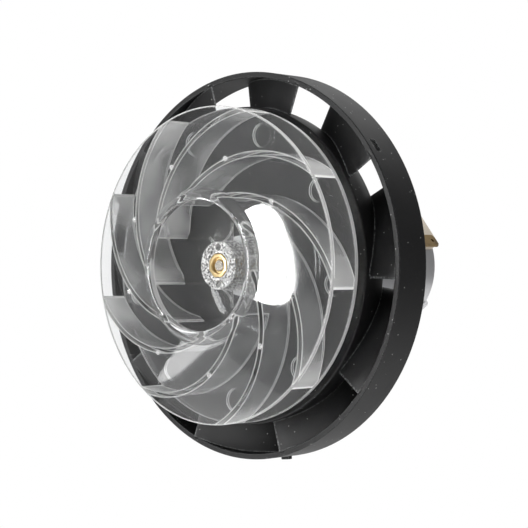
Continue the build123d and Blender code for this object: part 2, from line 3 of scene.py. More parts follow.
import json
import logging
from dataclasses import dataclass
from enum import Enum
from math import atan2, cos, degrees, hypot, pi, radians, sin, sqrt
from typing import Iterable, Sequence

import bmesh
import bpy
from mathutils import Matrix, Quaternion, Vector


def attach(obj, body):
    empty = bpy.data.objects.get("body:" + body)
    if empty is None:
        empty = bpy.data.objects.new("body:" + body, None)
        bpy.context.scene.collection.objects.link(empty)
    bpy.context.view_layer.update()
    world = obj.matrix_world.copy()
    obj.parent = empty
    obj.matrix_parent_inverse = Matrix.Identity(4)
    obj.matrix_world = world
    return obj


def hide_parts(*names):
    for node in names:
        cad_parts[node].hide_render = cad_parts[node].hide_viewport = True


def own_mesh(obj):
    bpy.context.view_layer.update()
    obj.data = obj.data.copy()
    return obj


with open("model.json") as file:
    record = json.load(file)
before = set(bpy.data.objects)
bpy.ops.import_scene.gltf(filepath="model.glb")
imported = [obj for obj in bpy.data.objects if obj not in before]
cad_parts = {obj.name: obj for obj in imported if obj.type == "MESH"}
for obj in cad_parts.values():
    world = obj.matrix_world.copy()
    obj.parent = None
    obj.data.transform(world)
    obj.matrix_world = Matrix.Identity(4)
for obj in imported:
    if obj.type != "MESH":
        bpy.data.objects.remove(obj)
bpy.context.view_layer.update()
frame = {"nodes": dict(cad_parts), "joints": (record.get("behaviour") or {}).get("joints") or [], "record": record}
log = logging.getLogger("vacuum_motor_unit")

Point = tuple[float, float]
Triple = tuple[float, float, float]
Numbers = tuple[float, ...]

MM = 0.001
CIRCLE = 360.0
FULL_TURN = 2 * pi
QUARTER_TURN = pi / 2
AXIS = (0.0, 1.0, 0.0)
ORIGIN = (0.0, 0.0, 0.0)

# Metres within which two points are one, and within which a point lies at a height
MERGE = 1e-6
NEAR = 1e-5

# Degrees up to which the faces at an edge are shaded as one surface
CRISP = 30.0
EVEN = 35.0
SOFT = 40.0
ROUND = 50.0

# Sockets of a Mix node that mixes colours
MIX_SHARE, MIX_FIRST, MIX_SECOND, MIX_RESULT = 0, 6, 7, 2


# Shader maths


class Sock:
    """A shader socket that takes part in Python expressions."""

    def __init__(self, graph: "Graph", link: bpy.types.NodeSocket) -> None:
        """Wraps an output socket of a graph."""
        self.graph = graph
        self.link = link

    def math(self, operation: str, *others: object) -> "Sock":
        """Result of a Math node on this socket and others."""
        return self.graph.add("ShaderNodeMath", {"operation": operation}, [self, *others])

    def __add__(self, other: object) -> "Sock":
        """Sum."""
        return self.math("ADD", other)

    def __mul__(self, other: object) -> "Sock":
        """Product."""
        return self.math("MULTIPLY", other)

    def __sub__(self, other: object) -> "Sock":
        """Difference."""
        return self.math("SUBTRACT", other)

    def __rsub__(self, other: float) -> "Sock":
        """Difference, with a number in front."""
        return self.graph.add("ShaderNodeMath", {"operation": "SUBTRACT"}, [other, self])

    def __truediv__(self, other: object) -> "Sock":
        """Quotient."""
        return self.math("DIVIDE", other)

    __radd__ = __add__
    __rmul__ = __mul__

    def above(self, edge: float) -> "Sock":
        """1 where this is above an edge."""
        return self.math("GREATER_THAN", edge)

    def below(self, edge: float) -> "Sock":
        """1 where this is below an edge."""
        return self.math("LESS_THAN", edge)

    def larger(self, other: "Sock") -> "Sock":
        """The larger of two."""
        return self.math("MAXIMUM", other)

    def absolute(self) -> "Sock":
        """The size without its sign."""
        return self.math("ABSOLUTE")

    def root(self) -> "Sock":
        """Square root."""
        return self.math("SQRT")

    def fraction(self) -> "Sock":
        """The part behind the point."""
        return self.math("FRACT")

    def wrapped(self, period: float) -> "Sock":
        """The remainder between minus half and plus half a period."""
        return self.math("WRAP", period / 2, -period / 2)

    def ramp(self, low: float, high: float) -> "Sock":
        """0 at low, 1 at high, smooth between."""
        values = {"Value": self, "From Min": low, "From Max": high}
        return self.graph.add("ShaderNodeMapRange", {"interpolation_type": "SMOOTHSTEP"}, values)


class Detail(Enum):
    """How fine the layers of a noise go."""

    PLAIN = 1.0
    MIDDLE = 2.0
    FINE = 3.0


@dataclass(frozen=True)
class Dust:
    """Specks that lie in patches: sizes in metres, thresholds of the patterns, and strength."""

    spacing: float
    speck: float
    patch: float
    edge: float
    share: float


def opaque(colour: object) -> object:
    """A plain colour with its alpha; a socket stays as it is."""
    return (*colour, 1.0) if isinstance(colour, tuple) else colour


class Graph:
    """The nodes of one material or world."""

    edge_ramp: Point = (0.88, 0.995)
    edge_samples: int = 6

    def __init__(self, tree: bpy.types.NodeTree) -> None:
        """Starts from an empty tree."""
        tree.nodes.clear()
        self.tree = tree

    def add(self, kind: str, settings: dict, values: object = (), output: int | str = 0) -> Sock:
        """Adds a node.

        Args:
            kind: the node's type.
            settings: attributes that are set first.
            values: a list or dict of numbers, colours or sockets for its inputs.
            output: which output to return.

        Returns:
            The chosen output.
        """
        node = self.tree.nodes.new(kind)
        for key, value in settings.items():
            setattr(node, key, value)
        pairs = values.items() if isinstance(values, dict) else enumerate(values)
        for key, value in pairs:
            if isinstance(value, Sock):
                self.tree.links.new(value.link, node.inputs[key])
            else:
                node.inputs[key].default_value = value
        return Sock(self, node.outputs[output])

    def several(self, kind: str, values: object, names: Sequence[str]) -> list[Sock]:
        """Adds a node and returns the outputs of the given names."""
        first = self.add(kind, {}, values, names[0])
        return [Sock(self, first.link.node.outputs[name]) for name in names]

    def close(self, kind: str, surface: Sock) -> None:
        """Links a surface to an output node of a type."""
        out = self.tree.nodes.new(kind)
        self.tree.links.new(surface.link, out.inputs["Surface"])

    def place(self) -> Sock:
        """Object coordinates."""
        return self.add("ShaderNodeTexCoord", {}, (), "Object")

    def split(self, vector: Sock) -> list[Sock]:
        """X, Y and Z of a vector."""
        return self.several("ShaderNodeSeparateXYZ", [vector], ("X", "Y", "Z"))

    def radius(self) -> Sock:
        """Distance from the motor axis, in metres."""
        x, _, z = self.split(self.place())
        return (x * x + z * z).root()

    def noise(self, size: float, detail: Detail = Detail.FINE) -> Sock:
        """Noise whose features are about a size, in metres."""
        values = {"Vector": self.place(), "Scale": 1.0 / size, "Detail": detail.value}
        return self.add("ShaderNodeTexNoise", {}, values)

    def dust(self, dust: Dust) -> Sock:
        """Strength of some dust over the surface.

        Args:
            dust: the dust.

        Returns:
            Its share on specks that lie in patches, and 0 elsewhere.
        """
        values = {"Vector": self.place(), "Scale": 1 / dust.spacing, "Randomness": 1.0}
        cells = self.add("ShaderNodeTexVoronoi", {"feature": "F1"}, values, "Distance")
        patches = self.noise(dust.patch, Detail.PLAIN).above(dust.edge)
        return cells.below(dust.speck) * patches * dust.share

    def bump(self, height: Sock, distance: float, strength: float) -> Sock:
        """Normal of a relief."""
        values = {"Strength": strength, "Distance": distance, "Height": height}
        return self.add("ShaderNodeBump", {}, values)

    def edges(self, reach: float) -> Sock:
        """Finds the edges, where a rounded normal leaves the true one.

        Args:
            reach: how far an edge reaches, in metres.

        Returns:
            1 along the edges and 0 elsewhere.
        """
        true = self.add("ShaderNodeNewGeometry", {}, (), "Normal")
        rounded = self.add("ShaderNodeBevel", {"samples": self.edge_samples}, {"Radius": reach})
        match = self.add("ShaderNodeVectorMath", {"operation": "DOT_PRODUCT"}, [true, rounded], "Value")
        return 1.0 - match.absolute().ramp(*self.edge_ramp)

    def blend(self, share: Sock, first: object, second: object) -> Sock:
        """A colour between two colours."""
        values = {MIX_SHARE: share, MIX_FIRST: opaque(first), MIX_SECOND: opaque(second)}
        return self.add("ShaderNodeMix", {"data_type": "RGBA"}, values, MIX_RESULT)

    def mixed(self, share: object, first: Sock, second: Sock) -> Sock:
        """A surface between two surfaces."""
        return self.add("ShaderNodeMixShader", {}, [share, first, second])

    def principled(self, colour: object, **values: object) -> Sock:
        """The surface shader, with its colour and its other sockets by name."""
        named = {key.replace("_", " "): value for key, value in values.items()}
        return self.add("ShaderNodeBsdfPrincipled", {}, {"Base Color": opaque(colour), **named})


class Finish:
    """Base of the finishes: builds one material and gives it to pieces."""

    name = "finish"

    def material(self) -> bpy.types.Material:
        """Makes the finish's material once.

        Returns:
            The material.
        """
        found = bpy.data.materials.get(self.name)
        if found:
            return found
        made = bpy.data.materials.new(self.name)
        made.use_nodes = True
        graph = Graph(made.node_tree)
        graph.close("ShaderNodeOutputMaterial", self.shade(graph))
        return made

    def shade(self, graph: Graph) -> Sock:
        """The finish's surface."""
        raise NotImplementedError

    def dress(self, piece: bpy.types.Object) -> None:
        """Gives the finish to a piece.

        Args:
            piece: the piece, which loses its other materials.
        """
        piece.data.materials.clear()
        piece.data.materials.append(self.material())
        for face in piece.data.polygons:
            face.material_index = 0


@dataclass(frozen=True)
class BlackMoulding(Finish):
    """Spark-eroded black plastic: fine grain, worn edges lightened partly as painted highlight, and a little dust.
    Lengths in metres.
    """

    name: str = "black_moulding"
    dark: Triple = (0.0035, 0.0035, 0.0038)
    light: Triple = (0.0065, 0.0065, 0.007)
    patch: float = 0.018
    patch_ramp: Point = (0.3, 0.7)
    grain: float = 0.00055
    grain_colour: Triple = (0.035, 0.036, 0.037)
    grain_ramp: Point = (0.58, 0.8)
    grain_share: float = 0.5
    wear_and_highlight_reach: float = 0.0009
    wear_and_highlight_colour: Triple = (0.17, 0.175, 0.175)
    wear_and_highlight_ramp: Point = (0.4, 0.62)
    wear_and_highlight_share: float = 0.85
    dust: Dust = Dust(spacing=0.0024, speck=0.09, patch=0.0061, edge=0.52, share=0.75)
    dust_colour: Triple = (0.5, 0.5, 0.49)
    rough: float = 0.44
    patch_rough: float = 0.16
    relief: Point = (0.00006, 0.12)
    specular: float = 0.36

    def shade(self, graph: Graph) -> Sock:
        """Builds the shader.

        Args:
            graph: the material's nodes.

        Returns:
            The surface.
        """
        grain = graph.noise(self.grain)
        patch = graph.noise(self.patch)
        base = graph.blend(patch.ramp(*self.patch_ramp), self.dark, self.light)
        base = graph.blend(grain.ramp(*self.grain_ramp) * self.grain_share, base, self.grain_colour)
        # Edges lightened: partly wear, partly painted highlight
        worn_and_lit_edges = graph.edges(self.wear_and_highlight_reach) * grain.ramp(*self.wear_and_highlight_ramp)
        base = graph.blend(worn_and_lit_edges * self.wear_and_highlight_share, base, self.wear_and_highlight_colour)
        base = graph.blend(graph.dust(self.dust), base, self.dust_colour)
        rough = self.rough + patch * self.patch_rough
        normal = graph.bump(grain, *self.relief)
        return graph.principled(base, Roughness=rough, Normal=normal, Specular_IOR_Level=self.specular)


@dataclass(frozen=True)
class ClearMoulding(Finish):
    """Clear polished plastic: milky walls and tips, partly painted highlight; edges whitened as painted highlight;
    witness circles with painted highlight arcs; painted glints on the hub; dust. Metres.
    """

    name: str = "clear_moulding"
    haze: float = 0.004
    wall_haze_and_highlight: float = 0.24
    wall_ramp: Point = (0.15, 0.9)
    tip_haze: float = 0.3
    tip_ramp: Point = (0.057, 0.065)
    # Painted light: how much more the walls whiten towards minus X
    lit_side_base: float = 0.5
    lit_side_gain: float = 1.3
    lit_side_ramp: Point = (0.035, -0.035)
    streak: float = 0.022
    streak_base: float = 0.2
    streak_ramp: Point = (0.35, 0.75)
    edge_painted_highlight: float = 1.0
    edge: float = 0.0012
    dust: Dust = Dust(spacing=0.0021, speck=0.07, patch=0.005, edge=0.57, share=0.5)
    swell: float = 0.02
    swell_depth: float = 0.04
    relief: Point = (0.00035, 0.6)
    colour: Triple = (0.98, 0.985, 0.99)
    rough: float = 0.03
    index: float = 1.49
    white: Triple = (0.95, 0.95, 0.94)
    white_rough: float = 0.6
    white_specular: float = 0.2
    milk: Triple = (0.9, 0.9, 0.89)
    milk_share: float = 0.12
    rings: bool = False
    ring_count: int = 9
    ring_phase: float = 32.5
    ring_circle: float = 0.0554
    ring_radius: float = 0.0047
    ring_line: Point = (0.00008, 0.00034)
    lit_ramp: Point = (-0.001, 0.0042)
    lit_arc_painted_highlight: float = 0.9
    hub_radius: float = 0.0102
    hub_painted_glitter: float = 0.8
    glitter: float = 0.001
    glitter_ramp: Point = (0.36, 0.72)

    def shade(self, graph: Graph) -> Sock:
        """Builds the shader.

        Args:
            graph: the material's nodes.

        Returns:
            The surface, between clear and cloudy.
        """
        height = graph.noise(self.swell, Detail.PLAIN) * self.swell_depth
        # The edges are whitened as a painted highlight.
        share = self.haze + self.wall_share(graph) + graph.edges(self.edge) * self.edge_painted_highlight
        if self.rings:
            ring, lit, hub = self.plate_masks(graph)
            # Painted glints: fine white glitter over the hub
            glitter = graph.noise(self.glitter, Detail.MIDDLE).ramp(*self.glitter_ramp)
            height = height + ring
            # Painted highlight: the lit arcs of the witness circles are whitened
            share = share + lit * self.lit_arc_painted_highlight + hub * glitter * self.hub_painted_glitter
        share = share + graph.dust(self.dust)
        normal = graph.bump(height, *self.relief)
        clear = graph.principled(self.colour, Roughness=self.rough, IOR=self.index,
                                 Transmission_Weight=1.0, Normal=normal)
        milky = graph.add("ShaderNodeBsdfTranslucent", {}, {"Color": opaque(self.milk)})
        white = graph.principled(self.white, Roughness=self.white_rough, Normal=normal,
                                 Specular_IOR_Level=self.white_specular)
        return graph.mixed(share, clear, graph.mixed(self.milk_share, white, milky))

    def wall_share(self, graph: Graph) -> Sock:
        """Milkiness of the upright walls, partly painted highlight.

        Args:
            graph: the material's nodes.

        Returns:
            Streaks that are stronger on one side, and the blades' tips.
        """
        facing = graph.add("ShaderNodeTexCoord", {}, (), "Normal")
        wall = 1.0 - graph.split(facing)[1].absolute().ramp(*self.wall_ramp)
        streak = self.streak_base + graph.noise(self.streak, Detail.PLAIN).ramp(*self.streak_ramp)
        # Painted light: the walls are whitened more towards minus X, as if lit from that side
        side = self.lit_side_base + graph.split(graph.place())[0].ramp(*self.lit_side_ramp) * self.lit_side_gain
        tip = graph.radius().ramp(*self.tip_ramp)
        return wall * (streak * side * self.wall_haze_and_highlight + tip * self.tip_haze)

    def plate_masks(self, graph: Graph) -> tuple[Sock, Sock, Sock]:
        """Marks of the rear plate.

        Args:
            graph: the material's nodes.

        Returns:
            Its witness circles, their left-hand arcs that carry a painted highlight, and its hub.
        """
        x, _, z = graph.split(graph.place())
        radius = (x * x + z * z).root()
        turn = z.math("ARCTAN2", x) - radians(self.ring_phase)
        along = turn.wrapped(radians(CIRCLE / self.ring_count)) * self.ring_circle
        across = radius - self.ring_circle
        out = (along * along + across * across).root()
        ring = 1.0 - (out - self.ring_radius).absolute().ramp(*self.ring_line)
        # Painted highlight: the side of each witness circle towards minus X is marked for whitening, as if lit
        lean = (along * z - across * x) / radius
        return ring, ring * lean.ramp(*self.lit_ramp), radius.below(self.hub_radius)


@dataclass(frozen=True)
class Metal(Finish):
    """A metal with fine surface grain and slight stains. Lengths in metres."""

    name: str = "metal"
    colour: Triple = (0.6, 0.6, 0.6)
    stain: Triple = (0.4, 0.4, 0.4)
    rough: float = 0.35
    grain: float = 0.0006
    relief: float = 0.00005
    strength: float = 0.7
    grain_rough: float = 0.14
    patch: float = 0.008
    patch_ramp: Point = (0.42, 0.72)
    patch_rough: float = 0.08
    metallic: float = 1.0

    def shade(self, graph: Graph) -> Sock:
        """Builds the shader.

        Args:
            graph: the material's nodes.

        Returns:
            The surface.
        """
        grain = graph.noise(self.grain)
        patch = graph.noise(self.patch)
        base = graph.blend(patch.ramp(*self.patch_ramp), self.colour, self.stain)
        rough = self.rough + grain * self.grain_rough + patch * self.patch_rough
        normal = graph.bump(grain, self.relief, self.strength)
        return graph.principled(base, Roughness=rough, Metallic=self.metallic, Normal=normal)


@dataclass(frozen=True)
class Laminations(Metal):
    """Edges of stacked steel sheets, as fine lines along the axis. Lengths in metres."""

    name: str = "laminations"
    rough: float = 0.38
    relief: float = 0.00006
    strength: float = 0.8
    patch: float = 0.006
    patch_rough: float = 0.2
    metallic: float = 0.9
    sheet: float = 0.0005
    gap_ramp: Point = (0.7, 0.95)
    gap_share: float = 0.5

    def shade(self, graph: Graph) -> Sock:
        """Builds the shader.

        Args:
            graph: the material's nodes.

        Returns:
            The surface.
        """
        gap = (graph.split(graph.place())[1] / self.sheet).fraction().ramp(*self.gap_ramp)
        base = graph.blend(gap * self.gap_share, self.colour, self.stain)
        rough = self.rough + graph.noise(self.patch) * self.patch_rough
        normal = graph.bump(1.0 - gap, self.relief, self.strength)
        return graph.principled(base, Roughness=rough, Metallic=self.metallic, Normal=normal)


@dataclass(frozen=True)
class Moulded(Finish):
    """A plain moulded or varnished piece with fine grain. Lengths in metres."""

    name: str = "moulded"
    colour: Triple = (0.1, 0.1, 0.1)
    shade_to: Triple = (0.05, 0.05, 0.05)
    rough: float = 0.5
    grain: float = 0.0007
    relief: float = 0.00008
    strength: float = 0.7
    grain_rough: float = 0.12
    patch: float = 0.007
    patch_ramp: Point = (0.35, 0.7)

    def shade(self, graph: Graph) -> Sock:
        """Builds the shader.

        Args:
            graph: the material's nodes.

        Returns:
            The surface.
        """
        grain = graph.noise(self.grain)
        patch = graph.noise(self.patch)
        base = graph.blend(patch.ramp(*self.patch_ramp), self.colour, self.shade_to)
        normal = graph.bump(grain, self.relief, self.strength)
        return graph.principled(base, Roughness=self.rough + grain * self.grain_rough, Normal=normal)


@dataclass(frozen=True)
class Windings(Moulded):
    """Varnished wire laid in turns about the axis. Lengths in metres."""

    name: str = "windings"
    relief: float = 0.0002
    strength: float = 0.9
    patch: float = 0.004
    patch_rough: float = 0.15
    wire: float = 0.0007
    wire_ramp: Point = (0.3, 0.5)
    varnish: float = 0.4

    def shade(self, graph: Graph) -> Sock:
        """Builds the shader.

        Args:
            graph: the material's nodes.

        Returns:
            The surface.
        """
        turn = ((graph.radius() / self.wire).fraction() - 0.5).absolute()
        base = graph.blend(turn.ramp(*self.wire_ramp), self.colour, self.shade_to)
        rough = self.rough + graph.noise(self.patch) * self.patch_rough
        normal = graph.bump(1.0 - turn, self.relief, self.strength)
        return graph.principled(base, Roughness=rough, Normal=normal, Coat_Weight=self.varnish)


# Modelling steps


class Bench:
    """The modelling steps that the sub-assemblies share. Sizes in millimetres, angles in degrees."""

    @staticmethod
    def clear() -> None:
        """Deselects everything."""
        if bpy.context.object and bpy.context.object.mode != "OBJECT":
            bpy.ops.object.mode_set(mode="OBJECT")
        bpy.ops.object.select_all(action="DESELECT")

    @staticmethod
    def pick(*pieces: bpy.types.Object) -> None:
        """Selects pieces, the first one active.

        Args:
            pieces: the pieces.
        """
        Bench.clear()
        for piece in pieces:
            piece.select_set(True)
        bpy.context.view_layer.objects.active = pieces[0]

    @staticmethod
    def freeze() -> None:
        """Moves the selected piece's place and size into its mesh."""
        bpy.ops.object.transform_apply(location=True, rotation=True, scale=True)

    @staticmethod
    def smooth(piece: bpy.types.Object, angle: float = EVEN) -> None:
        """Smooths a piece's shallow edges."""
        Bench.pick(piece)
        bpy.ops.object.shade_smooth_by_angle(angle=radians(angle))

    @staticmethod
    def outline(name: str, points: Sequence[Vector]) -> bpy.types.Object:
        """Draws a closed outline by extruding a point.

        Args:
            name: the piece's name.
            points: the outline, in metres.

        Returns:
            The piece, in edit mode, all selected.
        """
        Bench.clear()
        bpy.ops.mesh.primitive_plane_add(size=MM, location=ORIGIN)
        piece = bpy.context.object
        piece.name = piece.data.name = name
        bpy.ops.object.mode_set(mode="EDIT")
        bpy.ops.mesh.select_all(action="SELECT")
        bpy.ops.mesh.merge(type="CENTER")
        bpy.ops.transform.translate(value=points[0])
        for start, end in zip(points, points[1:]):
            bpy.ops.mesh.extrude_vertices_move(TRANSFORM_OT_translate={"value": end - start})
        shape = bmesh.from_edit_mesh(piece.data)
        shape.edges.new([vertex for vertex in shape.verts if len(vertex.link_edges) == 1])
        bmesh.update_edit_mesh(piece.data)
        bpy.ops.mesh.select_all(action="SELECT")
        return piece

    @staticmethod
    def close(piece: bpy.types.Object, smooth: float = CRISP) -> bpy.types.Object:
        """Merges doubles, turns the faces outward and smooths the shallow edges.

        Args:
            piece: the piece, in edit mode.
            smooth: angle up to which edges are smoothed.

        Returns:
            The piece, in object mode.
        """
        bpy.ops.mesh.select_all(action="SELECT")
        bpy.ops.mesh.remove_doubles(threshold=MERGE)
        bpy.ops.mesh.normals_make_consistent(inside=False)
        bpy.ops.object.mode_set(mode="OBJECT")
        Bench.pick(piece)
        Bench.freeze()
        Bench.smooth(piece, smooth)
        return piece

    @staticmethod
    def even(piece: bpy.types.Object) -> None:
        """Smooths the shallow edges and keeps wide faces flat."""
        Bench.smooth(piece)
        Bench.apply(piece, "WEIGHTED_NORMAL", keep_sharp=True, weight=100)

    @staticmethod
    def lathe(name: str, profile: Sequence[Point], steps: int) -> bpy.types.Object:
        """Turns an outline about the motor axis.

        Args:
            name: the piece's name.
            profile: the outline, as (radius, height).
            steps: faces of a full turn.

        Returns:
            A closed piece.
        """
        piece = Bench.outline(name, [Vector((radius * MM, -height * MM, 0)) for radius, height in profile])
        bpy.ops.mesh.spin(steps=steps, angle=FULL_TURN, center=ORIGIN, axis=AXIS, use_auto_merge=True)
        return Bench.close(piece, SOFT)

    @staticmethod
    def block(name: str, centre: Triple, size: Triple) -> bpy.types.Object:
        """Adds a block.

        Args:
            name: the piece's name.
            centre: where its middle is.
            size: its size along X, Y and Z.

        Returns:
            The piece.
        """
        Bench.clear()
        bpy.ops.mesh.primitive_cube_add(size=1, location=[value * MM for value in centre])
        piece = bpy.context.object
        piece.name = piece.data.name = name
        bpy.ops.transform.resize(value=[value * MM for value in size])
        Bench.freeze()
        return piece

    @staticmethod
    def rod(name: str, radius: float, depth: float, centre: Triple, sides: int) -> bpy.types.Object:
        """Adds a rod along the motor axis.

        Args:
            name: the piece's name.
            radius: its radius.
            depth: its length.
            centre: where its middle is.
            sides: how many sides it has.

        Returns:
            The piece.
        """
        Bench.clear()
        bpy.ops.mesh.primitive_cylinder_add(
            vertices=sides, radius=radius * MM, depth=depth * MM, rotation=(QUARTER_TURN, 0, 0),
            location=[value * MM for value in centre])
        piece = bpy.context.object
        piece.name = piece.data.name = name
        Bench.freeze()
        return piece

    @staticmethod
    def apply(piece: bpy.types.Object, kind: str, **settings: object) -> None:
        """Adds a modifier and applies it.

        Args:
            piece: the piece.
            kind: the modifier's type.
            settings: its settings by name.
        """
        Bench.pick(piece)
        modifier = piece.modifiers.new(kind.lower(), kind)
        for key, value in settings.items():
            setattr(modifier, key, value)
        bpy.ops.object.modifier_apply(modifier=modifier.name)

    @staticmethod
    def bevel(piece: bpy.types.Object, width: float, segments: int = 3, limit: float = 30.0) -> None:
        """Rounds a piece's edges that are sharper than a limit."""
        Bench.apply(piece, "BEVEL", width=width * MM, segments=segments,
                    limit_method="ANGLE", angle_limit=radians(limit))

    @staticmethod
    def cut(piece: bpy.types.Object, tool: bpy.types.Object, operation: str = "DIFFERENCE") -> None:
        """Cuts, joins or trims a piece with another, which then goes."""
        Bench.apply(piece, "BOOLEAN", object=tool, operation=operation, solver="EXACT")
        bpy.data.objects.remove(tool)

    @staticmethod
    def turn(piece: bpy.types.Object, angle: float) -> None:
        """Turns a mesh about the motor axis, counted from +X towards +Z."""
        piece.data.transform(Matrix.Rotation(radians(-angle), 4, "Y"))

    @staticmethod
    def around(piece: bpy.types.Object, angles: Iterable[float]) -> list[bpy.types.Object]:
        """Copies a piece about the motor axis and removes the original.

        Args:
            piece: the piece, modelled at angle 0.
            angles: the copies' angles.

        Returns:
            The copies.
        """
        copies = []
        for angle in angles:
            copy = piece.copy()
            copy.data = piece.data.copy()
            bpy.context.collection.objects.link(copy)
            Bench.turn(copy, angle)
            copies.append(copy)
        bpy.data.objects.remove(piece)
        return copies

    @staticmethod
    def join(name: str, pieces: Sequence[bpy.types.Object], smooth: float = CRISP) -> bpy.types.Object:
        """Joins pieces into one object.

        Args:
            name: its name.
            pieces: the pieces, which it takes in.
            smooth: angle up to which edges are smoothed.

        Returns:
            The object.
        """
        Bench.pick(*pieces)
        bpy.ops.object.join()
        whole = bpy.context.object
        whole.name = whole.data.name = name
        Bench.smooth(whole, smooth)
        return whole


def polar(radius: float, angle: float) -> Point:
    """A point in the plan, (x, z), from a radius and degrees."""
    return radius * cos(radians(angle)), radius * sin(radians(angle))


def spaced(count: int, first: float = 0.0) -> list[float]:
    """Even angles round the axis, from a first one."""
    return [first + CIRCLE * number / count for number in range(count)]


def eased(corners: Sequence[Point], roundings: Sequence[float], steps: int = 5) -> list[Point]:
    """Rounds an outline's corners.

    Args:
        corners: (radius, height) of each corner.
        roundings: rounding of each corner, 0 for a sharp one.
        steps: faces of each rounding.

    Returns:
        The points of the rounded outline.
    """
    points: list[Point] = []
    for number, (corner, rounding) in enumerate(zip(corners, roundings, strict=True)):
        if rounding <= 0:
            points.append(corner)
            continue
        here = Vector(corner)
        before = (Vector(corners[number - 1]) - here).normalized()
        after = (Vector(corners[(number + 1) % len(corners)]) - here).normalized()
        half = before.angle(after) / 2
        reach = rounding / max(sin(half) / cos(half), MERGE)
        start, end = here + before * reach, here + after * reach
        for step in range(steps + 1):
            share = step / steps
            points.append(tuple(start * (1 - share) ** 2 + here * (2 * share * (1 - share)) + end * share**2))
    return points


def circle_through(first: Vector, second: Vector, third: Vector) -> tuple[Vector, float]:
    """Finds the circle through three points of a plane.

    Args:
        first: a point.
        second: another point.
        third: a point that isn't in line with them.

    Returns:
        The circle's centre and radius.
    """
    a, b = second - first, third - first
    cross = 2 * (a.x * b.y - a.y * b.x)
    lead, lag = a.length_squared, b.length_squared
    centre = Vector(((b.y * lead - a.y * lag) / cross, (a.x * lag - b.x * lead) / cross))
    return first + centre, centre.length


# Finishes of the unit


class Look(Enum):
    """The finishes of the unit."""

    BLACK = BlackMoulding()
    CLEAR_FRONT = ClearMoulding("clear_front")
    CLEAR_PLATE = ClearMoulding("clear_plate", haze=0.05, edge_painted_highlight=0.5, edge=0.0008, rings=True)
    BRASS = Metal("brass", (0.56, 0.38, 0.16), (0.36, 0.22, 0.08), 0.1)
    TAB = Metal("tarnished_brass", (0.24, 0.16, 0.06), (0.15, 0.1, 0.04), 0.4)
    SHAFT = Metal("shaft_steel", (0.6, 0.56, 0.5), (0.5, 0.46, 0.4), 0.11)
    STEEL = Metal("steel", (0.5, 0.49, 0.48), (0.36, 0.35, 0.34), 0.17)
    BEARING = Metal("bearing_steel", (0.6, 0.6, 0.62), (0.48, 0.48, 0.5), 0.18, 0.001, 0.00002)
    CAST = Metal("die_cast", (0.58, 0.59, 0.6), (0.42, 0.43, 0.44), 0.42, 0.0009, 0.00012)
    CORE = Laminations("lamination_steel", (0.55, 0.55, 0.57), (0.25, 0.25, 0.27))
    COPPER = Metal("copper", (0.72, 0.36, 0.2), (0.5, 0.22, 0.12), 0.28)
    ENAMEL = Windings("enamelled_wire", (0.42, 0.15, 0.05), (0.16, 0.045, 0.015), 0.3)
    PAPER = Moulded("insulation", (0.62, 0.58, 0.45), (0.5, 0.46, 0.34), 0.55)
    HOLDER = Moulded("holder_moulding", (0.5, 0.44, 0.36), (0.42, 0.37, 0.3), 0.5)
    DARK = Moulded("dark_insulation", (0.045, 0.03, 0.022), (0.025, 0.018, 0.014), 0.5)
    CARBON = Moulded("carbon", (0.03, 0.03, 0.032), (0.015, 0.015, 0.016), 0.55)
    FLOOR = Moulded("studio_floor", (0.82, 0.82, 0.82), (0.8, 0.8, 0.8), 0.7)


SLOT_LOOKS = {
    "black_plastic": Look.BLACK, "clear_plastic": Look.CLEAR_FRONT, "brass": Look.BRASS, "steel": Look.STEEL,
    "bearing_steel": Look.BEARING, "die_cast": Look.CAST, "lamination_steel": Look.CORE,
    "copper": Look.COPPER, "enamelled_wire": Look.ENAMEL, "insulation": Look.PAPER,
    "dark_insulation": Look.DARK, "carbon": Look.CARBON,
}
NODE_LOOKS = {
    "shaft": Look.SHAFT, "terminal_a": Look.TAB, "terminal_b": Look.TAB,
    "brush_holder_a": Look.HOLDER, "brush_holder_b": Look.HOLDER,
}


# Sub-assemblies


@dataclass
class GateMark:
    """Small round gate mark: a ring with a dot in its middle. Millimetres."""

    inner: float = 0.62
    outer: float = 0.98
    foot: float = -0.05
    top: float = 0.16
    rounds: Numbers = (0.0, 0.0, 0.05, 0.05)
    facets: int = 28
    dot_radius: float = 0.26
    dot_shoulder: float = 0.1
    dot_top: float = 0.14
    dot_facets: int = 16

    def build(self) -> bpy.types.Object:
        """Builds the mark on the motor axis.

        Returns:
            The mark, as one piece.
        """
        corners = [
            (self.inner, self.foot), (self.outer, self.foot),
            (self.outer, self.top), (self.inner, self.top)]
        ring = Bench.lathe("gate_mark", eased(corners, self.rounds), self.facets)
        dot = Bench.lathe("gate_dot", [
            (0.0, self.foot), (self.dot_radius, self.foot),
            (self.dot_radius, self.dot_shoulder), (0.0, self.dot_top)], self.dot_facets)
        return Bench.join("gate_mark", [ring, dot])


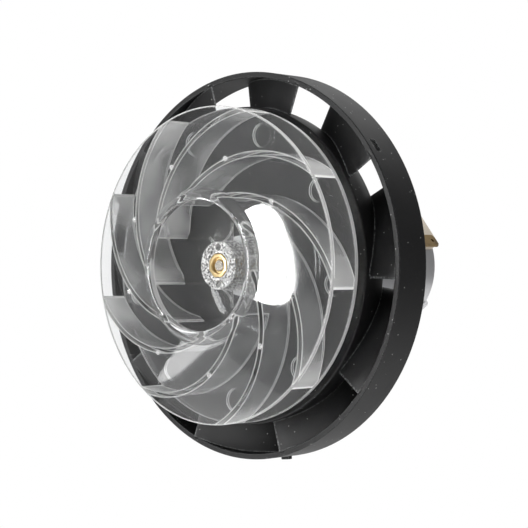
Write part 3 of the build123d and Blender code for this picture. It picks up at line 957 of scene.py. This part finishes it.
@dataclass
class Impeller:
    """Clear fan wheel: front moulding with its blades, rear plate with the hub, brass insert. Millimetres."""

    radius: float = 65.0
    plate_back: float = 23.2
    plate_front: float = 25.2
    plate_rounds: Numbers = (0.0, 0.4, 0.4, 0.3, 0.3, 0.9, 0.5, 0.2)
    plate_facets: int = 200
    edge_back: float = 37.5
    edge_front: float = 39.3
    eye_radius: float = 26.7
    eye_front: float = 47.1
    collar: float = 2.6
    collar_length: float = 3.0
    slope_top: float = 44.45
    shell: float = 1.8
    shroud_rounds: Numbers = (0.15, 0.35, 1.6, 1.1, 1.1, 0.3, 0.9)
    shroud_facets: int = 240
    blade_count: int = 9
    blade: float = 1.7
    blade_ends: tuple[Point, ...] = ((65.0, 73.7), (47.9, 105.9), (27.4, 155.7))
    blade_gap: float = 0.06
    blade_run_out: float = 3.0
    blade_steps: int = 56
    passage_rounds: Numbers = (1.8, 0.0, 0.0, 0.0, 0.0)
    passage_steps: int = 8
    rim_gap: float = 0.02
    rim_rise: float = 0.9
    nose_drop: float = 1.5
    hub_radius: float = 9.9
    hub_front: float = 33.8
    hub_back: float = 21.3
    gusset_angles: Numbers = (90.0, 138.0, 270.0, 318.0)
    gusset_reach: float = 7.5
    gusset_rise: float = 6.5
    gusset: float = 1.1
    gusset_root: float = 0.6
    gusset_foot: float = 0.15
    gusset_bite: float = 0.4
    gusset_curve: float = 2.6
    gusset_steps: int = 12
    spanner_angles: Numbers = (90.0, 270.0)
    spanner_circle: float = 7.6
    spanner_radius: float = 1.6
    spanner_depth: float = 5.0
    spanner_sides: int = 48
    overrun: float = 1.0
    insert_radius: float = 5.2
    insert_fit: float = 0.02
    insert_front: float = 34.1
    insert_back: float = 20.5
    insert_sides: int = 8
    insert_turn: float = -22.5
    insert_bevel: float = 0.3
    insert_limit: float = 60.0
    mouth_radius: float = 3.3
    mouth_depth: float = 1.4
    mouth_bevel: float = 0.35
    mouth_flare: float = 0.45
    mouth_rise: float = 0.1
    bore_radius: float = 2.5
    bore_facets: int = 96
    gate_radius: float = 44.5
    gate_angle: float = 34.3

    def build(self) -> None:
        """Builds the wheel's pieces."""
        self.front_moulding()
        self.back_plate()
        self.insert()

    def slope(self) -> float:
        """Rise of the shroud's front face for each millimetre inward."""
        return (self.slope_top - self.edge_front) / (self.radius - self.eye_radius - 2 * self.collar)

    def cone_height(self, radius: float) -> float:
        """Height of the shroud's front face at a radius."""
        share = (self.radius - radius) / (self.radius - (self.eye_radius + 2 * self.collar))
        return self.edge_front + (self.slope_top - self.edge_front) * share

    def front_moulding(self) -> None:
        """The shroud, its inlet collar and the blades, in one clear moulding."""
        collar_out = self.eye_radius + self.collar
        corners = [
            (self.radius, self.edge_back), (self.radius, self.edge_front),
            (collar_out + self.collar, self.slope_top), (collar_out, self.eye_front),
            (self.eye_radius, self.eye_front), (self.eye_radius, self.eye_front - self.collar_length),
            (collar_out, self.cone_height(collar_out) - self.shell)]
        shroud = Bench.lathe("impeller_shroud_clear", eased(corners, self.shroud_rounds), self.shroud_facets)
        blades = Bench.join("blades", Bench.around(self.one_blade(), spaced(self.blade_count)))
        Bench.cut(shroud, blades, "UNION")
        angles = spaced(self.blade_count, self.gate_angle)
        marks = Bench.join("marks", Bench.around(self.gate_mark(), angles))
        shroud = Bench.join("impeller_shroud_clear", [shroud, marks], EVEN)
        Bench.even(shroud)
        self.hand_over(shroud, Look.CLEAR_FRONT, "impeller_shroud")

    def one_blade(self) -> bpy.types.Object:
        """Sweeps the first blade's section along its arc and trims it to the passage.

        Returns:
            The blade, closed.
        """
        outer, middle, inner = (Vector(polar(*end)) for end in self.blade_ends)
        centre, radius = circle_through(outer, middle, inner)
        spokes = [degrees(atan2(*(end - centre).yx)) for end in (outer, inner)]
        run_out = degrees(self.blade_run_out / radius)
        side = 1 if (spokes[1] - spokes[0]) % CIRCLE < CIRCLE / 2 else -1
        sweep = side * ((side * (spokes[1] - spokes[0])) % CIRCLE + run_out)
        low, high = self.plate_front + self.blade_gap, self.eye_front
        section = []
        for reach, height in ((-0.5, low), (0.5, low), (0.5, high), (-0.5, high)):
            x, z = polar(radius + reach * self.blade, spokes[0] - side * run_out)
            section.append(Vector(((centre.x + x) * MM, -height * MM, (centre.y + z) * MM)))
        piece = Bench.outline("blade", section)
        pivot = (centre.x * MM, 0, centre.y * MM)
        bpy.ops.mesh.spin(steps=self.blade_steps, angle=radians(sweep), center=pivot, axis=AXIS)
        bpy.ops.mesh.select_all(action="SELECT")
        bpy.ops.mesh.fill_holes(sides=len(section))
        Bench.close(piece)
        Bench.cut(piece, self.passage(low), "INTERSECT")
        return piece

    def passage(self, low: float) -> bpy.types.Object:
        """Turns the room that the blades fill.

        Args:
            low: height at which it starts.

        Returns:
            A closed piece.
        """
        nose, rim = self.blade_ends[-1][0], self.radius - self.rim_gap
        collar_out = self.eye_radius + self.collar
        corners = [
            (nose, low), (rim, low), (rim, self.edge_back + self.rim_rise),
            (collar_out, self.cone_height(collar_out) - self.shell / 2),
            (nose, self.eye_front - self.nose_drop)]
        profile = eased(corners, self.passage_rounds, self.passage_steps)
        return Bench.lathe("passage", profile, self.shroud_facets)

    def gate_mark(self) -> bpy.types.Object:
        """Stands a gate mark on the shroud's front face.

        Returns:
            The mark, at angle 0.
        """
        mark = GateMark().build()
        place = Matrix.Translation((self.gate_radius * MM, -self.cone_height(self.gate_radius) * MM, 0))
        mark.data.transform(place @ Matrix.Rotation(-atan2(self.slope(), 1), 4, "Z"))
        return mark

    def back_plate(self) -> None:
        """The rear plate with the hub, its gussets and the two spanner holes."""
        fit = self.insert_radius - self.insert_fit
        corners = [
            (fit, self.hub_back), (self.hub_radius, self.hub_back), (self.hub_radius, self.plate_back),
            (self.radius, self.plate_back), (self.radius, self.plate_front),
            (self.hub_radius, self.plate_front), (self.hub_radius, self.hub_front), (fit, self.hub_front)]
        plate = Bench.lathe("impeller_plate_clear", eased(corners, self.plate_rounds), self.plate_facets)
        ribs = Bench.join("gussets", Bench.around(self.one_gusset(), self.gusset_angles))
        Bench.cut(plate, ribs, "UNION")
        depth = self.spanner_depth + self.overrun
        height = self.hub_front + self.overrun - depth / 2
        for angle in self.spanner_angles:
            x, z = polar(self.spanner_circle, angle)
            hole = Bench.rod("spanner_hole", self.spanner_radius, depth, (x, -height, z), self.spanner_sides)
            Bench.cut(plate, hole)
        Bench.even(plate)
        self.hand_over(plate, Look.CLEAR_PLATE, "impeller_back_plate")

    def one_gusset(self) -> bpy.types.Object:
        """Draws a thin gusset with a hollow slope, between the hub and the plate.

        Returns:
            The gusset at angle 0, closed.
        """
        inner, outer = self.hub_radius - self.gusset, self.hub_radius + self.gusset_reach
        low, top = self.plate_front - self.gusset_root, self.plate_front + self.gusset_rise
        run, rise = outer - self.hub_radius + self.gusset_bite, self.gusset_rise - self.gusset_foot
        shares = [step / self.gusset_steps for step in range(self.gusset_steps + 1)]
        curve = [(outer - run * share, self.plate_front + self.gusset_foot + rise * share**self.gusset_curve)
                 for share in shares]
        points = [(inner, low), (outer, low), *curve, (inner, top)]
        piece = Bench.outline("gusset", [Vector((x * MM, -y * MM, -self.gusset / 2 * MM)) for x, y in points])
        bpy.ops.mesh.edge_face_add()
        bpy.ops.mesh.extrude_region_move(TRANSFORM_OT_translate={"value": (0, 0, self.gusset * MM)})
        return Bench.close(piece)

    def insert(self) -> None:
        """The octagonal brass insert with its bevelled mouth."""
        front = self.insert_front
        start, end = self.insert_back - self.overrun, front + self.overrun
        middle = (front + self.insert_back) / 2
        body = Bench.rod("brass_insert", self.insert_radius, front - self.insert_back, (0, -middle, 0),
                         self.insert_sides)
        Bench.turn(body, self.insert_turn)
        Bench.bevel(body, self.insert_bevel, limit=self.insert_limit)
        flare = self.mouth_radius + self.mouth_flare
        bore = Bench.lathe("bore", [
            (0, start), (self.bore_radius, start), (self.bore_radius, front - self.mouth_depth),
            (self.mouth_radius, front - self.mouth_depth), (self.mouth_radius, front - self.mouth_bevel),
            (flare, front + self.mouth_rise), (flare, end), (0, end)], self.bore_facets)
        Bench.cut(body, bore)
        Bench.smooth(body)
        self.hand_over(body, Look.BRASS, "impeller_hub_insert")

    def hand_over(self, piece: bpy.types.Object, look: Look, node: str) -> None:
        """Dresses a piece and puts it in its node's place, on the rotor.

        Args:
            piece: the piece.
            look: its finish.
            node: the node that it replaces.
        """
        log.info("impeller piece %s: %d faces", piece.name, len(piece.data.polygons))
        look.value.dress(piece)
        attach(piece, "rotor")
        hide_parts(node)


@dataclass
class Diffuser:
    """Black moulding: disc and drum, outer rim, and the curved vanes between them. Millimetres."""

    rim_radius: float = 80.6
    rim_wall: float = 2.4
    rim_height: float = 17.3
    rim_rounds: Numbers = (0.15, 0.2, 0.5, 0.5)
    rim_facets: int = 300
    drum_front: float = 66.0
    drum_rear: float = 58.0
    drum_wall: float = 2.2
    drum_rounds: Numbers = (0.0, 0.8, 0.3, 0.3, 0.6)
    drum_steps: int = 14
    drum_facets: int = 240
    disc_front: float = 19.5
    disc: float = 2.5
    straight: float = 5.0
    shoulder: float = 1.0
    hole_radius: float = 12.65
    vane_count: int = 10
    vane_lead: float = 69.0
    vane_sweep: float = 30.0
    vane_curve: float = 1.8
    vane_front: float = 0.7
    vane_rear: float = 1.8
    vane_steps: int = 16
    vane_bevel: float = 0.2
    vane_limit: float = 50.0
    recess_angle: float = 36.0
    recess_drop: float = 4.5
    recess_size: Triple = (1.2, 3.0, 6.0)
    lug_angle: float = -85.0
    lug_rise: float = 1.4
    lug_back: float = 1.15
    lug_size: Point = (2.5, 4.0)
    small_bevel: float = 0.25
    boss_angles: Numbers = (38.0, 128.0, 218.0, 308.0)
    boss_circle: float = 30.0
    boss_radius: float = 4.0
    boss_bore: float = 1.5
    boss_back: float = 9.0
    boss_root: float = 0.2
    boss_rounds: Numbers = (0.2, 0.3, 0.0, 0.0)
    boss_facets: int = 40

    def build(self) -> None:
        """Builds the moulding and puts it in its node's place."""
        drum = self.drum()
        rim = self.rim()
        vanes = Bench.around(self.one_vane(), spaced(self.vane_count, self.vane_lead))
        bosses = Bench.around(self.one_boss(), self.boss_angles)
        whole = Bench.join("diffuser_moulding", [drum, rim, self.lug(), *vanes, *bosses], EVEN)
        Bench.even(whole)
        log.info("diffuser: %d faces", len(whole.data.polygons))
        Look.BLACK.value.dress(whole)
        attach(whole, "motor_frame")
        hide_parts("diffuser")

    def surface(self, height: float) -> float:
        """Radius of the drum's outside at a height.

        Args:
            height: the height.

        Returns:
            The radius, on an arc that draws in below the straight part.
        """
        top = self.disc_front - self.straight
        if height >= top:
            return self.drum_front
        draw = self.drum_front - self.drum_rear
        radius = (draw**2 + top**2) / (2 * draw)
        return self.drum_front - radius + sqrt(radius**2 - (top - height) ** 2)

    def drum(self) -> bpy.types.Object:
        """Turns the disc and the drum that draws in towards the rear.

        Returns:
            A closed piece.
        """
        top, back = self.disc_front - self.straight, self.disc_front - self.disc
        heights = [top * step / self.drum_steps for step in range(self.drum_steps + 1)]
        inner = [(self.surface(height) - self.drum_wall, height) for height in reversed(heights)]
        outer = [(self.surface(height), height) for height in heights]
        corners = [
            (self.drum_front, top + self.shoulder), (self.drum_front, self.disc_front),
            (self.hole_radius, self.disc_front), (self.hole_radius, back),
            (self.drum_front - self.drum_wall, back)]
        return Bench.lathe("drum", eased(corners, self.drum_rounds) + inner + outer, self.drum_facets)

    def rim(self) -> bpy.types.Object:
        """Turns the outer rim and cuts its locating recess.

        Returns:
            A closed piece.
        """
        inner, outer, top = self.rim_radius - self.rim_wall, self.rim_radius, self.rim_height
        corners = [(inner, 0), (outer, 0), (outer, top), (inner, top)]
        rim = Bench.lathe("rim", eased(corners, self.rim_rounds), self.rim_facets)
        tool = Bench.block("recess", (outer, -(top - self.recess_drop), 0), self.recess_size)
        Bench.bevel(tool, self.small_bevel)
        Bench.turn(tool, self.recess_angle)
        Bench.cut(rim, tool)
        Bench.smooth(rim)
        return rim

    def lug(self) -> bpy.types.Object:
        """Adds the small locating lug behind the rim.

        Returns:
            A closed piece.
        """
        low, high = self.rim_radius - self.rim_wall / 2, self.rim_radius + self.lug_rise
        lug = Bench.block("lug", ((low + high) / 2, self.lug_back, 0), (high - low, *self.lug_size))
        Bench.bevel(lug, self.small_bevel, segments=2)
        Bench.turn(lug, self.lug_angle)
        return lug

    def one_vane(self) -> bpy.types.Object:
        """Cuts a slab into rings, then narrows and turns each one.

        Returns:
            The vane at angle 0, closed.
        """
        outer = self.rim_radius - self.rim_wall / 2
        reach = outer - (self.drum_rear - self.drum_wall / 2)
        vane = Bench.block("vane", (outer - reach / 2, -self.rim_height / 2, 0),
                           (reach, self.rim_height, self.vane_rear))
        bpy.ops.object.mode_set(mode="EDIT")
        self.select_long_edges(vane)
        bpy.ops.mesh.subdivide(number_cuts=self.vane_steps - 1)
        for step in range(self.vane_steps + 1):
            share = step / self.vane_steps
            height = self.rim_height * (1 - share)
            slope = radians(self.vane_sweep) * self.vane_curve * (1 - share) ** (self.vane_curve - 1)
            slope *= (self.drum_front + outer) / 2 / self.rim_height
            thick = (self.vane_front + (self.vane_rear - self.vane_front) * share) * sqrt(1 + slope**2)
            inner = self.surface(height) - self.drum_wall / 2
            self.select_ring(vane, height)
            bpy.ops.transform.resize(value=((outer - inner) / reach, 1, thick / self.vane_rear),
                                     center_override=(outer * MM, -height * MM, 0))
            turn = self.vane_sweep * (1 - (1 - share) ** self.vane_curve)
            bpy.ops.transform.rotate(value=radians(turn), orient_axis="Y", center_override=ORIGIN)
        Bench.close(vane)
        Bench.bevel(vane, self.vane_bevel, limit=self.vane_limit)
        Bench.smooth(vane)
        return vane

    @staticmethod
    def select_long_edges(piece: bpy.types.Object, along_share: float = 0.9) -> None:
        """Selects the edges that run along the axis.

        Args:
            piece: the piece, in edit mode.
            along_share: least part of an edge's length that lies along the axis.
        """
        shape = bmesh.from_edit_mesh(piece.data)
        bpy.ops.mesh.select_all(action="DESELECT")
        bpy.ops.mesh.select_mode(type="EDGE")
        for edge in shape.edges:
            along = edge.verts[0].co - edge.verts[1].co
            edge.select_set(abs(along.y) > along_share * along.length)
        bmesh.update_edit_mesh(piece.data)

    @staticmethod
    def select_ring(piece: bpy.types.Object, height: float) -> None:
        """Selects the points at a height.

        Args:
            piece: the piece, in edit mode.
            height: the height.
        """
        bpy.ops.mesh.select_mode(type="VERT")
        bpy.ops.mesh.select_all(action="DESELECT")
        shape = bmesh.from_edit_mesh(piece.data)
        for vertex in shape.verts:
            vertex.select_set(abs(vertex.co.y + height * MM) < NEAR)
        shape.select_flush(True)
        bmesh.update_edit_mesh(piece.data)

    def one_boss(self) -> bpy.types.Object:
        """Turns a bored screw boss behind the disc.

        Returns:
            The boss at angle 0, closed.
        """
        back, top = self.boss_back, self.disc_front - self.disc + self.boss_root
        corners = [
            (self.boss_bore, back), (self.boss_radius, back),
            (self.boss_radius, top), (self.boss_bore, top)]
        boss = Bench.lathe("boss", eased(corners, self.boss_rounds), self.boss_facets)
        boss.data.transform(Matrix.Translation((self.boss_circle * MM, 0, 0)))
        return boss


@dataclass
class BrushSpring:
    """Round-wire coil spring that presses a brush. Millimetres."""

    side: str
    coil_radius: float = 2.2
    wire_radius: float = 0.35
    wire_sides: int = 10
    turns: int = 4
    turn_steps: int = 28
    stroke: float = 3.05

    def build(self) -> None:
        """Builds the spring in its node's place."""
        node_name, joint_name = f"brush_spring_{self.side}", f"brush_{self.side}_slide"
        joint = next(entry for entry in frame["joints"] if entry["name"] == joint_name)
        axis = Vector(joint["axis"]).normalized()
        node = frame["nodes"][node_name]
        places = [node.matrix_world @ vertex.co for vertex in node.data.vertices]
        along = [place.dot(axis) for place in places]
        middle = Vector((0, (min(place.y for place in places) + max(place.y for place in places)) / 2, 0))
        inner, outer = min(along), max(along)
        coil = self.coil(outer - inner)
        coil.name = coil.data.name = f"{node_name}_wire"
        turn = axis.to_track_quat("Z", "Y").to_matrix().to_4x4()
        coil.data.transform(Matrix.Translation(axis * inner + middle) @ turn)
        log.info("spring %s: %d faces", self.side, len(coil.data.polygons))
        Look.STEEL.value.dress(coil)
        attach(coil, "motor_frame")
        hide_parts(node_name)
        keep = 1 - self.stroke * MM / (outer - inner)
        tuple(axis * outer + middle)
        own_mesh(coil)

    def coil(self, length: float) -> bpy.types.Object:
        """Screws a round wire section into a coil along Z.

        Args:
            length: the coil's length, in metres.

        Returns:
            A closed piece.
        """
        Bench.clear()
        wire, steps = self.wire_radius * MM, self.turns * self.turn_steps
        bpy.ops.mesh.primitive_circle_add(
            vertices=self.wire_sides, radius=wire, rotation=(QUARTER_TURN, 0, 0),
            location=(self.coil_radius * MM, 0, wire))
        coil = bpy.context.object
        Bench.freeze()
        Bench.apply(coil, "SCREW", axis="Z", angle=FULL_TURN * self.turns, screw_offset=length - 2 * wire,
                    steps=steps, render_steps=steps)
        bpy.ops.object.mode_set(mode="EDIT")
        bpy.ops.mesh.select_all(action="SELECT")
        bpy.ops.mesh.fill_holes(sides=self.wire_sides)
        return Bench.close(coil, ROUND)


class Motor:
    """The motor behind the ring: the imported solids, each dressed by its material slot."""

    def build(self) -> None:
        """Dresses every node."""
        slots = {part["node"]: part["material_slot"] for part in frame["record"]["subparts"]}
        for name, node in frame["nodes"].items():
            look = NODE_LOOKS.get(name, SLOT_LOOKS[slots[name]])
            look.value.dress(node)
            log.info("node %s: %s", name, look.name)


# Studio


class LampShape(Enum):
    """Outlines of a soft box."""

    BOX = "RECTANGLE"
    OVAL = "ELLIPSE"


@dataclass(frozen=True)
class MirroredLamp:
    """An oval soft box that the shroud mirrors to the camera. Metres, watts and degrees."""

    name: str
    pixel: Point
    size: Point
    power: float
    roll: float = 0.0
    shift: float = 0.0
    distance: float = 0.75


@dataclass(frozen=True)
class FillLamp:
    """A square soft box that faces the unit, and which rays see it. Metres and watts."""

    name: str
    place: Triple
    power: float
    in_gloss: bool = False
    through_clear: bool = False
    size: Point = (0.8, 0.8)


@dataclass
class Studio:
    """Floor, light and camera. Metres."""

    place: Triple = (0.4781, -0.5403, -0.0011)
    right: Triple = (0.7455, 0.6665, 0.002)
    look: Triple = (-0.6665, 0.7455, 0.0025)
    lens: float = 115.9
    sensor: float = 36.0
    clip: float = 0.01
    focal: float = 1700.0
    centre: float = 264.0
    floor_z: float = -0.3
    floor_size: float = 1.6
    gloss_light: float = 0.2
    room_light: float = 0.45
    bounced_loss: float = 0.8
    first_reach: float = 0.4
    reach_steps: int = 60
    mirrored: tuple[MirroredLamp, ...] = (
        MirroredLamp("key", (268.0, 255.0), (0.154, 0.287), 3.4, roll=14.0, shift=0.058),
        MirroredLamp("card", (197.0, 336.0), (0.28, 0.034), 0.1),
    )
    fills: tuple[FillLamp, ...] = (
        FillLamp("left", (-0.7, -0.7, 0.45), 3.0),
        FillLamp("right", (0.95, -0.1, 0.3), 3.0),
        FillLamp("top", (-0.2, -0.25, 0.9), 9.0, through_clear=True),
        FillLamp("rear", (-0.15, 0.8, 0.7), 3.0, in_gloss=True, through_clear=True),
    )

    def build(self) -> None:
        """Builds the whole studio."""
        bpy.context.scene.view_settings.view_transform = "Standard"
        self.camera()
        self.world()
        self.floor()
        for mirrored in self.mirrored:
            self.mirrored_lamp(mirrored)
        for fill in self.fills:
            lamp = self.lamp(fill.name, Vector(fill.place), Vector(ORIGIN), fill.size, fill.power)
            lamp.visible_glossy = fill.in_gloss
            lamp.visible_transmission = fill.through_clear

    def axes(self) -> tuple[Vector, Vector, Vector]:
        """Works out the camera's directions.

        Returns:
            Right, up and forward.
        """
        forward = Vector(self.look).normalized()
        right = (Vector(self.right) - forward * Vector(self.right).dot(forward)).normalized()
        return right, right.cross(forward), forward

    def camera(self) -> None:
        """The camera at the photograph's view."""
        right, up, forward = self.axes()
        camera = bpy.data.objects.new("camera", bpy.data.cameras.new("camera"))
        camera.data.lens = self.lens
        camera.data.sensor_width = self.sensor
        camera.data.clip_start = self.clip
        turn = Matrix((right, up, -forward)).transposed().to_4x4()
        camera.matrix_world = Matrix.Translation(self.place) @ turn
        bpy.context.collection.objects.link(camera)
        bpy.context.scene.camera = camera

    def ray(self, pixel: Point) -> Vector:
        """Works out the view through a place in the photograph's frame.

        Args:
            pixel: the place.

        Returns:
            Its direction.
        """
        right, up, forward = self.axes()
        x, y = pixel[0] - self.centre, self.centre - pixel[1]
        return (forward * self.focal + right * x + up * y).normalized()

    def world(self) -> None:
        """White behind the object, and a dim even room for its light."""
        world = bpy.data.worlds.new("studio")
        bpy.context.scene.world = world
        world.use_nodes = True
        graph = Graph(world.node_tree)
        camera, through, glossy, diffuse, bounces = graph.several("ShaderNodeLightPath", (), (
            "Is Camera Ray", "Is Transmission Ray", "Is Glossy Ray", "Is Diffuse Ray", "Glossy Depth"))
        seen = through * (1.0 - bounces.above(0.5) * self.bounced_loss)
        strength = camera.larger(seen).larger(glossy * self.gloss_light).larger(diffuse * self.room_light)
        white = {"Color": opaque((1.0, 1.0, 1.0)), "Strength": strength}
        graph.close("ShaderNodeOutputWorld", graph.add("ShaderNodeBackground", {}, white))

    def floor(self) -> None:
        """A plain pale floor well below the object."""
        Bench.clear()
        bpy.ops.mesh.primitive_plane_add(size=self.floor_size, location=(0, 0, self.floor_z))
        floor = bpy.context.object
        floor.name = floor.data.name = "floor"
        Look.FLOOR.value.dress(floor)

    def lamp(self, name: str, place: Vector, target: Vector, size: Point, power: float,
             roll: float = 0.0, shape: LampShape = LampShape.BOX) -> bpy.types.Object:
        """Adds a soft box.

        Args:
            name: its name.
            place: where it stands.
            target: what it faces.
            size: its width and height.
            power: its power.
            roll: its turn about its own line of light.
            shape: its outline.

        Returns:
            The lamp.
        """
        data = bpy.data.lights.new(name, "AREA")
        data.shape = shape.value
        data.size, data.size_y = size
        data.energy = power
        lamp = bpy.data.objects.new(name, data)
        lamp.location = place
        turn = (target - place).to_track_quat("-Z", "Y") @ Quaternion((0, 0, 1), radians(roll))
        lamp.rotation_euler = turn.to_euler()
        bpy.context.collection.objects.link(lamp)
        return lamp

    def mirrored_lamp(self, mirrored: MirroredLamp) -> None:
        """Adds a soft box where the shroud mirrors it to the camera.

        Args:
            mirrored: the soft box and its place in the photograph's frame.
        """
        spot, normal = self.shroud_point(mirrored.pixel)
        view = (spot - Vector(self.place)).normalized()
        back = view - normal * 2 * view.dot(normal)
        shift = Vector((0, 0, 1)).cross(back).normalized() * mirrored.shift
        self.lamp(mirrored.name, spot + back * mirrored.distance - shift, spot - shift, mirrored.size,
                  mirrored.power, mirrored.roll, LampShape.OVAL)

    def shroud_point(self, pixel: Point) -> tuple[Vector, Vector]:
        """Finds where the view through a place of the photograph meets the shroud's front.

        Args:
            pixel: the place in the photograph's frame.

        Returns:
            The point and the surface's normal there.
        """
        wheel = Impeller()
        eye, ray, reach = Vector(self.place), self.ray(pixel), self.first_reach
        for _ in range(self.reach_steps):
            point = eye + ray * reach
            height = wheel.cone_height(hypot(point.x, point.z) / MM)
            reach += (-height * MM - point.y) / ray.y
        outward = Vector((point.x, 0, point.z)).normalized()
        return point, (outward * wheel.slope() - Vector(AXIS)).normalized()


def main() -> None:
    """Builds and dresses the unit and its studio."""
    logging.basicConfig(level=logging.INFO, format="%(name)s %(message)s")
    Motor().build()
    Diffuser().build()
    Impeller().build()
    for side in ("a", "b"):
        BrushSpring(side).build()
    Studio().build()


if __name__ == "__main__":
    main()
